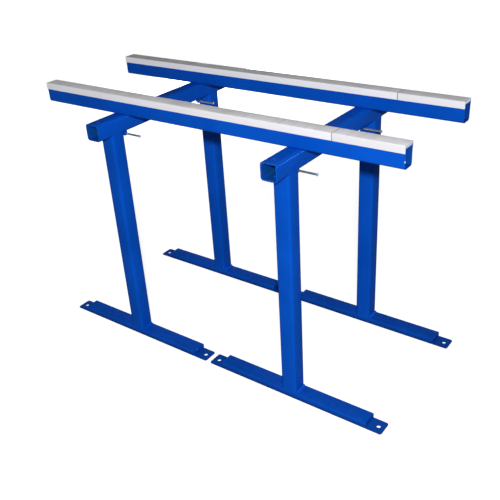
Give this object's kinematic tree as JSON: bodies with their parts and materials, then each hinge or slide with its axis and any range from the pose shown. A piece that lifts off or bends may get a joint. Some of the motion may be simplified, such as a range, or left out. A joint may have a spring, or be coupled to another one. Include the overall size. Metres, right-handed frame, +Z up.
{
  "type": "work support stand",
  "caption": "Blue steel work stand: two plastic-capped channel rails across square cross tubes on four T-legs, each crossing held by a clamp screw with a sliding tommy bar.",
  "frame": {"origin": "on the floor, under the middle of the stand", "axes": "+X along the rails towards the ends with the short caps, +Y from the front rail to the rear rail, +Z up"},
  "size_m": [1.228, 0.605, 0.822],
  "materials": {
    "blue_paint": "semi-gloss blue enamel over steel",
    "white_plastic": "satin white PVC",
    "zinc_steel": "bright zinc plated steel"
  },
  "bodies": {
    "stand": {"front_left_post": "blue_paint", "front_left_base_plate": "blue_paint", "front_left_foot_beam": "blue_paint", "front_left_foot_left_end": "blue_paint", "front_left_foot_right_end": "blue_paint", "front_left_rail_nut": "zinc_steel", "front_right_post": "blue_paint", "front_right_base_plate": "blue_paint", "front_right_foot_beam": "blue_paint", "front_right_foot_left_end": "blue_paint", "front_right_foot_right_end": "blue_paint", "front_right_rail_nut": "zinc_steel", "rear_left_post": "blue_paint", "rear_left_base_plate": "blue_paint", "rear_left_foot_beam": "blue_paint", "rear_left_foot_left_end": "blue_paint", "rear_left_foot_right_end": "blue_paint", "rear_left_rail_nut": "zinc_steel", "rear_right_post": "blue_paint", "rear_right_base_plate": "blue_paint", "rear_right_foot_beam": "blue_paint", "rear_right_foot_left_end": "blue_paint", "rear_right_foot_right_end": "blue_paint", "rear_right_rail_nut": "zinc_steel", "left_cross_tube": "blue_paint", "right_cross_tube": "blue_paint", "front_rail": "blue_paint", "rear_rail": "blue_paint", "front_long_cap": "white_plastic", "front_short_cap": "white_plastic", "rear_long_cap": "white_plastic", "rear_short_cap": "white_plastic"},
    "front_left_screw": {"front_left_clamp_screw": "blue_paint"},
    "front_right_screw": {"front_right_clamp_screw": "blue_paint"},
    "rear_left_screw": {"rear_left_clamp_screw": "blue_paint"},
    "rear_right_screw": {"rear_right_clamp_screw": "blue_paint"},
    "front_left_bar": {"front_left_clamp_bar": "zinc_steel"},
    "front_right_bar": {"front_right_clamp_bar": "zinc_steel"},
    "rear_left_bar": {"rear_left_clamp_bar": "zinc_steel"},
    "rear_right_bar": {"rear_right_clamp_bar": "zinc_steel"}
  },
  "joints": [
    {"name": "front_left_screw_turn", "type": "hinge", "parent": "stand", "child": "front_left_screw", "pos_m": [-0.3095, -0.1775, 0.7114], "axis": [0, 0, 1], "range_deg": [0, 180]},
    {"name": "front_right_screw_turn", "type": "hinge", "parent": "stand", "child": "front_right_screw", "pos_m": [0.3095, -0.1775, 0.7114], "axis": [0, 0, 1], "range_deg": [0, 180]},
    {"name": "rear_left_screw_turn", "type": "hinge", "parent": "stand", "child": "rear_left_screw", "pos_m": [-0.3095, 0.1775, 0.7114], "axis": [0, 0, -1], "range_deg": [0, 180]},
    {"name": "rear_right_screw_turn", "type": "hinge", "parent": "stand", "child": "rear_right_screw", "pos_m": [0.3095, 0.1775, 0.7114], "axis": [0, 0, -1], "range_deg": [0, 180]},
    {"name": "front_left_bar_slide", "type": "slide", "parent": "front_left_screw", "child": "front_left_bar", "axis": [1, 0, 0], "range_m": [-0.052, 0.001]},
    {"name": "front_right_bar_slide", "type": "slide", "parent": "front_right_screw", "child": "front_right_bar", "axis": [1, 0, 0], "range_m": [-0.052, 0.001]},
    {"name": "rear_left_bar_slide", "type": "slide", "parent": "rear_left_screw", "child": "rear_left_bar", "axis": [1, 0, 0], "range_m": [-0.052, 0.001]},
    {"name": "rear_right_bar_slide", "type": "slide", "parent": "rear_right_screw", "child": "rear_right_bar", "axis": [1, 0, 0], "range_m": [-0.052, 0.001]}
  ]
}
